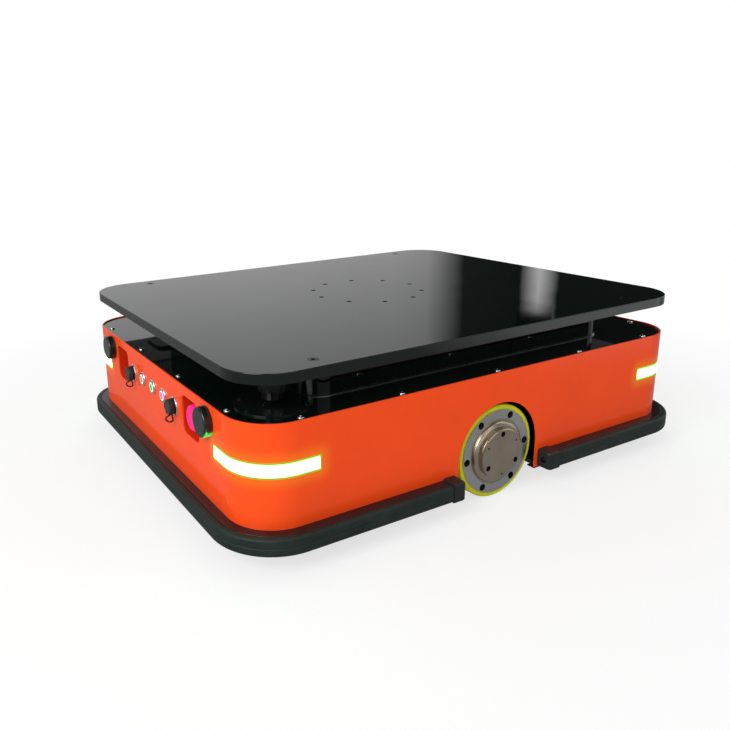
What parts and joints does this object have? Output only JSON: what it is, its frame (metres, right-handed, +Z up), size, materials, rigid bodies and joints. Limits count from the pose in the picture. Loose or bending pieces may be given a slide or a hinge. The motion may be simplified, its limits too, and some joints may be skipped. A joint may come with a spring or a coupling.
{
  "type": "autonomous mobile robot",
  "caption": "Low wheeled robot body with a fixed load plate, sprung drive wheels, swivel casters, corner lamps, wrap-round bumper and a rear control panel.",
  "frame": {"origin": "on the floor under the middle of the robot", "axes": "+X forward in the direction of travel, +Y left, +Z up; the control panel faces -X"},
  "size_m": [0.896, 0.7344, 0.27],
  "materials": {
    "signal_paint": "gloss powder coat",
    "black_gloss": "mirror gloss black coat",
    "black_satin": "satin black coat",
    "screw_steel": "zinc plated",
    "bright_trim": "brushed",
    "lamp": "milky, lit",
    "circuit_board": "matt",
    "bumper_rail": "black anodised",
    "bumper_rubber": "matt, slight grain",
    "bumper_cap": "moulded, satin",
    "pu_tyre": "cast polyurethane, satin",
    "rim_metal": "turned",
    "hub_metal": "turned, champagne anodised",
    "bracket_metal": "milled",
    "motor_paint": "satin black",
    "spring_rubber": "cast, matt",
    "post_steel": "hard chromed",
    "zinc_steel": "zinc plated sheet",
    "caster_wheel": "moulded nylon",
    "estop_red": "moulded",
    "switch_black": "moulded",
    "button_ring": "polished",
    "button_white": "lit, milky",
    "button_green": "lit, milky",
    "button_pink": "lit, milky",
    "socket_metal": "nickel plated",
    "cap_plastic": "moulded",
    "tether_rubber": "moulded",
    "antenna_plastic": "moulded, satin",
    "scanner_shell": "gloss black",
    "scanner_window": "infrared window",
    "scanner_rotor": "polished",
    "battery_case": "coated",
    "heat_sink": "black anodised"
  },
  "bodies": {
    "chassis": {"shell": "signal_paint", "recess_cups": "signal_paint", "deck": "black_gloss", "top_plate": "black_gloss", "riser_frame": "black_gloss", "base_plate": "black_satin", "mid_plate": "black_satin", "caster_towers": "black_satin", "body_screws": "screw_steel", "top_plate_screws": "screw_steel", "riser_seal": "bright_trim", "battery": "battery_case", "drive_controller": "heat_sink", "led_diffusers": "lamp", "led_boards": "circuit_board", "bumper_rails": "bumper_rail", "bumper_rubbers": "bumper_rubber", "bumper_caps": "bumper_cap", "suspension_posts": "post_steel", "caster_mounts": "zinc_steel", "estop_body": "switch_black", "power_switch_body": "switch_black", "button_bezels": "button_ring", "connector_sockets": "socket_metal", "cap_tethers": "tether_rubber", "antennas": "antenna_plastic", "scanner_housings": "scanner_shell", "scanner_windows": "scanner_window", "suspension_springs_left": "spring_rubber", "suspension_springs_right": "spring_rubber"},
    "drive_carriage_left": {"drive_bracket_left": "bracket_metal", "drive_motor_left": "motor_paint"},
    "drive_wheel_left": {"drive_tyre_left": "pu_tyre", "drive_rim_left": "rim_metal", "hub_reducer_left": "hub_metal", "wheel_bolts_left": "screw_steel"},
    "socket_cap_left": {"connector_cap_left": "cap_plastic"},
    "drive_carriage_right": {"drive_bracket_right": "bracket_metal", "drive_motor_right": "motor_paint"},
    "drive_wheel_right": {"drive_tyre_right": "pu_tyre", "drive_rim_right": "rim_metal", "hub_reducer_right": "hub_metal", "wheel_bolts_right": "screw_steel"},
    "socket_cap_right": {"connector_cap_right": "cap_plastic"},
    "caster_swivel_front_left": {"caster_fork_front_left": "zinc_steel"},
    "caster_roller_front_left": {"caster_wheel_front_left": "caster_wheel"},
    "caster_swivel_front_right": {"caster_fork_front_right": "zinc_steel"},
    "caster_roller_front_right": {"caster_wheel_front_right": "caster_wheel"},
    "caster_swivel_rear_left": {"caster_fork_rear_left": "zinc_steel"},
    "caster_roller_rear_left": {"caster_wheel_rear_left": "caster_wheel"},
    "caster_swivel_rear_right": {"caster_fork_rear_right": "zinc_steel"},
    "caster_roller_rear_right": {"caster_wheel_rear_right": "caster_wheel"},
    "scanner_mirror_front_left": {"scanner_rotor_front_left": "scanner_rotor"},
    "scanner_mirror_rear_right": {"scanner_rotor_rear_right": "scanner_rotor"},
    "push_button_start": {"button_start": "button_white"},
    "push_button_status": {"button_status": "button_green"},
    "push_button_reset": {"button_reset": "button_pink"},
    "estop_plunger": {"estop_stem": "switch_black"},
    "estop_mushroom": {"estop_head": "estop_red"},
    "power_selector": {"power_switch_knob": "switch_black"}
  },
  "joints": [
    {"name": "suspension_travel_left", "type": "slide", "parent": "chassis", "child": "drive_carriage_left", "axis": [0, 0, 1], "range_m": [-0.004, 0.004], "stiffness_N_per_m": 25000, "springref_m": -0.008, "deforming": ["suspension_springs_left"]},
    {"name": "drive_wheel_spin_left", "type": "hinge", "parent": "drive_carriage_left", "child": "drive_wheel_left", "pos_m": [0, 0.3135, 0.075], "axis": [0, 1, 0], "continuous": true},
    {"name": "suspension_travel_right", "type": "slide", "parent": "chassis", "child": "drive_carriage_right", "axis": [0, 0, 1], "range_m": [-0.004, 0.004], "stiffness_N_per_m": 25000, "springref_m": -0.008, "deforming": ["suspension_springs_right"]},
    {"name": "drive_wheel_spin_right", "type": "hinge", "parent": "drive_carriage_right", "child": "drive_wheel_right", "pos_m": [0, -0.3135, 0.075], "axis": [0, 1, 0], "continuous": true},
    {"name": "caster_turn_front_left", "type": "hinge", "parent": "chassis", "child": "caster_swivel_front_left", "pos_m": [0.342, 0.248, 0.094], "axis": [0, 0, 1], "continuous": true},
    {"name": "caster_roll_front_left", "type": "hinge", "parent": "caster_swivel_front_left", "child": "caster_roller_front_left", "pos_m": [0.314, 0.248, 0.0375], "axis": [0, 1, 0], "continuous": true},
    {"name": "caster_turn_front_right", "type": "hinge", "parent": "chassis", "child": "caster_swivel_front_right", "pos_m": [0.342, -0.248, 0.094], "axis": [0, 0, 1], "continuous": true},
    {"name": "caster_roll_front_right", "type": "hinge", "parent": "caster_swivel_front_right", "child": "caster_roller_front_right", "pos_m": [0.314, -0.248, 0.0375], "axis": [0, 1, 0], "continuous": true},
    {"name": "caster_turn_rear_left", "type": "hinge", "parent": "chassis", "child": "caster_swivel_rear_left", "pos_m": [-0.342, 0.248, 0.094], "axis": [0, 0, 1], "continuous": true},
    {"name": "caster_roll_rear_left", "type": "hinge", "parent": "caster_swivel_rear_left", "child": "caster_roller_rear_left", "pos_m": [-0.37, 0.248, 0.0375], "axis": [0, 1, 0], "continuous": true},
    {"name": "caster_turn_rear_right", "type": "hinge", "parent": "chassis", "child": "caster_swivel_rear_right", "pos_m": [-0.342, -0.248, 0.094], "axis": [0, 0, 1], "continuous": true},
    {"name": "caster_roll_rear_right", "type": "hinge", "parent": "caster_swivel_rear_right", "child": "caster_roller_rear_right", "pos_m": [-0.37, -0.248, 0.0375], "axis": [0, 1, 0], "continuous": true},
    {"name": "press_start", "type": "slide", "parent": "chassis", "child": "push_button_start", "axis": [1, 0, 0], "range_m": [0, 0.0025], "stiffness_N_per_m": 800, "springref_m": -0.001},
    {"name": "press_status", "type": "slide", "parent": "chassis", "child": "push_button_status", "axis": [1, 0, 0], "range_m": [0, 0.0025], "stiffness_N_per_m": 800, "springref_m": -0.001},
    {"name": "press_reset", "type": "slide", "parent": "chassis", "child": "push_button_reset", "axis": [1, 0, 0], "range_m": [0, 0.0025], "stiffness_N_per_m": 800, "springref_m": -0.001},
    {"name": "press_estop", "type": "slide", "parent": "chassis", "child": "estop_plunger", "axis": [1, 0, 0], "range_m": [0, 0.0045], "stiffness_N_per_m": 1500, "springref_m": -0.002},
    {"name": "twist_estop", "type": "hinge", "parent": "estop_plunger", "child": "estop_mushroom", "pos_m": [-0.418, -0.157, 0.1605], "axis": [-1, 0, 0], "range_deg": [-45, 0], "stiffness_Nm_per_rad": 0.05},
    {"name": "turn_power_switch", "type": "hinge", "parent": "chassis", "child": "power_selector", "pos_m": [-0.403, 0.157, 0.1605], "axis": [1, 0, 0], "range_deg": [0, 90]},
    {"name": "turn_socket_cap_left", "type": "hinge", "parent": "chassis", "child": "socket_cap_left", "pos_m": [-0.43, 0.096, 0.161], "axis": [1, 0, 0], "range_deg": [0, 90]},
    {"name": "turn_socket_cap_right", "type": "hinge", "parent": "chassis", "child": "socket_cap_right", "pos_m": [-0.43, -0.096, 0.161], "axis": [1, 0, 0], "range_deg": [0, 90]},
    {"name": "scanner_spin_front_left", "type": "hinge", "parent": "chassis", "child": "scanner_mirror_front_left", "pos_m": [0.346, 0.264, 0.217], "axis": [0, 0, 1], "continuous": true},
    {"name": "scanner_spin_rear_right", "type": "hinge", "parent": "chassis", "child": "scanner_mirror_rear_right", "pos_m": [-0.346, -0.264, 0.217], "axis": [0, 0, 1], "continuous": true}
  ]
}
